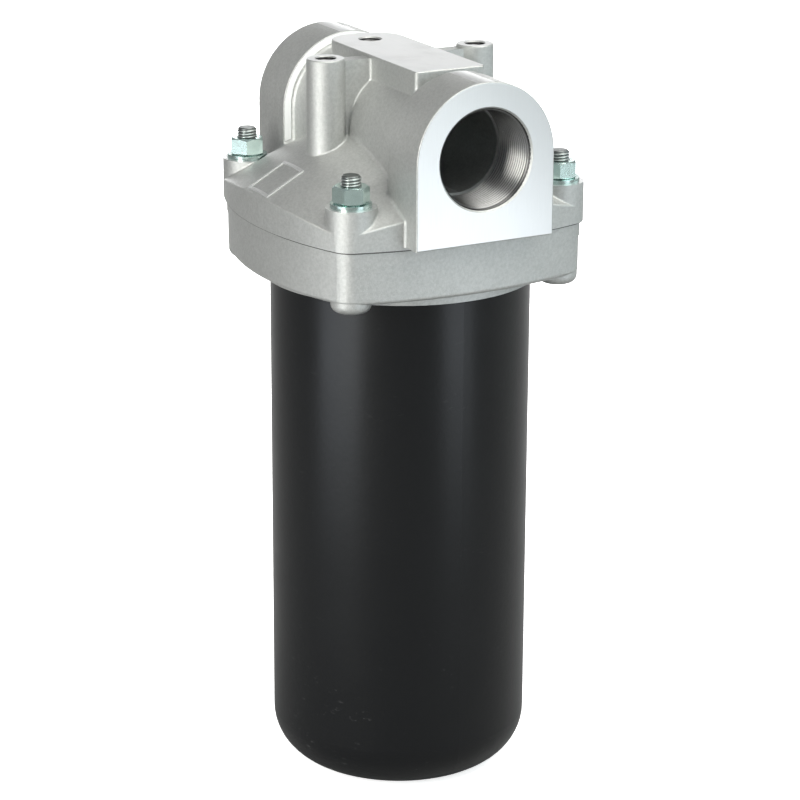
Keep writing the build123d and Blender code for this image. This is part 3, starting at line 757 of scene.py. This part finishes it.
class HOUSING_OT_fasteners(Operator):
    """Makes the threaded studs and finishes the nuts and washers"""

    bl_idname = "housing.fasteners"
    bl_label = "Add fasteners"

    def execute(self, context):
        sizes = settings_of(context).thread
        finish = settings_of(context).finish
        turned = {"rough": 0.38, "stretch": (300.0, 300.0, 1200.0), "wear": 0.25}
        # The studs' thread roots get painted shade.
        steel = metal_material("stud_steel", finish.stud_colour, groove_shade=0.7, **turned)
        bare = metal_material("stud_bare", finish.stud_colour, **turned)
        zinc = metal_material(
            "zinc_plate", finish.zinc_colour, rough=0.22, stretch=(700.0, 700.0, 200.0), wear=0.10
        )
        # Painted shade: the washers take a darker copy of the nuts' zinc.
        washer_shade_colour = shade(finish.zinc_colour, 0.7)
        shaded_washer_zinc = metal_material(
            "zinc_washer", washer_shade_colour, rough=0.26, stretch=(300.0, 300.0, 900.0), wear=0.15
        )
        for corner in range(1, 5):
            stud = f"stud_{corner}"
            mesh_piece(f"threaded_{stud}", *stud_mesh(sizes, stud), steel, "stud_steel", stud)
            paint_nodes(bare, stud)
            paint_nodes(zinc, f"nut_{corner}")
            paint_nodes(shaded_washer_zinc, f"washer_{corner}")
        return {"FINISHED"}


class HOUSING_OT_bowl(Operator):
    """Gives the bowl its black paint and the seals their rubber"""

    bl_idname = "housing.bowl"
    bl_label = "Finish bowl"

    def execute(self, context):
        finish = settings_of(context).finish
        paint_nodes(paint_material("bowl_paint", finish.bowl_colour), "bowl")
        rubber = rubber_material("seal_rubber", finish.rubber_colour)
        paint_nodes(rubber, "bowl_seal", "element_neck_seal")
        return {"FINISHED"}


class HOUSING_OT_element(Operator):
    """Finishes the filter element, its bypass valve and the springs"""

    bl_idname = "housing.element"
    bl_label = "Finish element"

    def execute(self, context):
        finish = settings_of(context).finish
        fine = (200.0, 200.0, 500.0)
        turned = (200.0, 200.0, 2400.0)
        drawn = (900.0, 900.0, 900.0)
        tin = metal_material("cap_steel", finish.tin_colour, rough=0.36, stretch=fine, wear=0.15)
        paint_nodes(tin, "element_top_cap", "element_bottom_cap", "element_core_tube", "bypass_retainer")
        media = fleece_material("media_fleece", finish.media_colour, finish.mesh_colour, finish.mesh_pitch)
        paint_nodes(media, "element_media")
        alloy = metal_material("valve_alloy", finish.alloy_colour, rough=0.34, stretch=turned, wear=0.12)
        paint_nodes(alloy, "bypass_seat")
        steel = metal_material("valve_steel", finish.valve_colour, rough=0.32, stretch=turned, wear=0.15)
        paint_nodes(steel, "bypass_poppet")
        wire = metal_material("spring_steel", finish.spring_colour, rough=0.40, stretch=drawn, wear=0.20)
        paint_nodes(wire, "bypass_spring", "element_spring")

        sizes = settings_of(context).spring
        shape = coil_mesh("bypass_spring", sizes.radius, sizes.wire, sizes.turns)
        coil = mesh_piece("bypass_spring_coil", *shape, wire, "spring_steel", "bypass_spring")
        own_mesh(coil)
        return {"FINISHED"}


def towards(azimuth, elevation):
    """The direction at an azimuth and a height angle, both in degrees."""
    azimuth = math.radians(azimuth)
    elevation = math.radians(elevation)
    level = math.cos(elevation)
    return Vector((math.sin(azimuth) * level, -math.cos(azimuth) * level, math.sin(elevation)))


def add_camera(stage):
    """The camera, at the photograph's place and angle."""
    target = Vector((0.0, 0.0, stage.target_level))
    place = target + stage.camera_distance * towards(stage.camera_azimuth, stage.camera_elevation)
    forward = -towards(stage.camera_yaw, stage.camera_pitch)
    right = forward.cross(Vector((0.0, 0.0, 1.0))).normalized()
    upward = right.cross(forward)
    roll = math.radians(stage.camera_roll)
    turned_right = right * math.cos(roll) + upward * math.sin(roll)
    turned_up = upward * math.cos(roll) - right * math.sin(roll)
    data = bpy.data.cameras.new("camera")
    data.sensor_width = SENSOR_WIDTH
    data.lens = stage.camera_lens
    data.clip_start = CLIP_START
    camera = bpy.data.objects.new("camera", data)
    turn = Matrix((turned_right, turned_up, -forward)).transposed().to_4x4()
    camera.matrix_world = Matrix.Translation(place) @ turn
    bpy.context.scene.collection.objects.link(camera)
    bpy.context.scene.camera = camera


def add_sky(stage):
    """Even light from all round, which the camera sees as white."""
    world = bpy.data.worlds.new("studio")
    tree = Tree(world)
    ray = tree.make("ShaderNodeLightPath")["Is Camera Ray"]
    lit = tree.make("ShaderNodeBackground", {}, {"Color": SKY, "Strength": stage.sky_strength})
    seen = tree.make("ShaderNodeBackground", {}, {"Color": WHITE, "Strength": 1.0})
    both = {0: ray, 1: lit["Background"], 2: seen["Background"]}
    surface = tree.make("ShaderNodeMixShader", {}, both)["Shader"]
    tree.make("ShaderNodeOutputWorld", {}, {"Surface": surface})
    bpy.context.scene.world = world


def floor_material(stage):
    """Pale paper that the camera sees lifted to near white, and that lights the object less."""
    tree = Surface("floor_paper")
    paper = tree.noise(4.0)
    tone = tree.mix(paper, stage.floor_colour, shade(stage.floor_colour, 0.99))
    inputs = {"Base Color": tone, "Roughness": 0.9, "Specular IOR Level": 0.1}
    sheet = tree.make("ShaderNodeBsdfPrincipled", {}, inputs)["BSDF"]
    glow = tree.make("ShaderNodeEmission", {}, {"Color": WHITE, "Strength": stage.floor_glow})["Emission"]
    lifted = tree.make("ShaderNodeAddShader", {}, {0: sheet, 1: glow})["Shader"]
    plain = tree.make("ShaderNodeBsdfDiffuse", {}, {"Color": stage.floor_bounce})["BSDF"]
    ray = tree.make("ShaderNodeLightPath")["Is Camera Ray"]
    surface = tree.make("ShaderNodeMixShader", {}, {0: ray, 1: plain, 2: lifted})["Shader"]
    tree.make("ShaderNodeOutputMaterial", {}, {"Surface": surface})
    return tree.material


def add_floor(stage):
    """A round floor just under the bowl's foot."""
    radius = stage.floor_radius
    angles = [2.0 * math.pi * step / FLOOR_SEGMENTS for step in range(FLOOR_SEGMENTS)]
    rim = [(radius * math.cos(angle), radius * math.sin(angle), FLOOR_LEVEL) for angle in angles]
    mesh = bpy.data.meshes.new("floor")
    mesh.from_pydata(rim, [], [tuple(range(FLOOR_SEGMENTS))])
    mesh.materials.append(floor_material(stage))
    floor = bpy.data.objects.new("floor", mesh)
    bpy.context.scene.collection.objects.link(floor)


def add_lamp(name, place, target, size, tint, power):
    """A rectangular light that faces a target and stays out of the camera's view."""
    data = bpy.data.lights.new(name, "AREA")
    data.shape = "RECTANGLE"
    data.size, data.size_y = size
    data.energy = power
    data.color = tint
    lamp = bpy.data.objects.new(name, data)
    lamp.location = place
    lamp.rotation_euler = (Vector(target) - Vector(place)).to_track_quat("-Z", "Y").to_euler()
    lamp.visible_camera = False
    bpy.context.scene.collection.objects.link(lamp)


class HOUSING_OT_stage(Operator):
    """Sets up the camera, the floor and the light"""

    bl_idname = "housing.stage"
    bl_label = "Set up stage"

    def execute(self, context):
        stage = settings_of(context).stage
        context.scene.view_settings.view_transform = "Standard"
        add_camera(stage)
        add_sky(stage)
        add_floor(stage)
        for name, place, target, size, tint in LAMPS:
            add_lamp(f"{name}_light", place, target, size, tint, getattr(stage, f"{name}_power"))
        return {"FINISHED"}


class HOUSING_PT_panel(Panel):
    """Buttons and settings of the filter housing"""

    bl_idname = "HOUSING_PT_panel"
    bl_label = "Filter housing"
    bl_space_type = "VIEW_3D"
    bl_region_type = "UI"
    bl_category = "Housing"

    def draw(self, context):
        settings = settings_of(context)
        for group in (settings.casting, settings.thread, settings.spring, settings.finish, settings.stage):
            box = self.layout.box()
            for name in type(group).__annotations__:
                box.prop(group, name)
        for operator in OPERATORS:
            self.layout.operator(operator.bl_idname)


OPERATORS = (
    HOUSING_OT_castings,
    HOUSING_OT_threads,
    HOUSING_OT_fasteners,
    HOUSING_OT_bowl,
    HOUSING_OT_element,
    HOUSING_OT_stage,
)
GROUPS = (CastingSettings, ThreadSettings, SpringSettings, FinishSettings, StageSettings, HousingSettings)
CLASSES = GROUPS + OPERATORS + (HOUSING_PT_panel,)


def register():
    """Adds the classes and the scene's settings to Blender."""
    for entry in CLASSES:
        bpy.utils.register_class(entry)
    bpy.types.Scene.filter_housing = PointerProperty(type=HousingSettings)


def unregister():
    """Takes the classes and the settings out again."""
    del bpy.types.Scene.filter_housing
    for entry in reversed(CLASSES):
        bpy.utils.unregister_class(entry)


def main():
    """Builds the whole scene."""
    register()
    bpy.ops.housing.castings()
    bpy.ops.housing.threads()
    bpy.ops.housing.fasteners()
    bpy.ops.housing.bowl()
    bpy.ops.housing.element()
    bpy.ops.housing.stage()


if __name__ == "__main__":
    main()
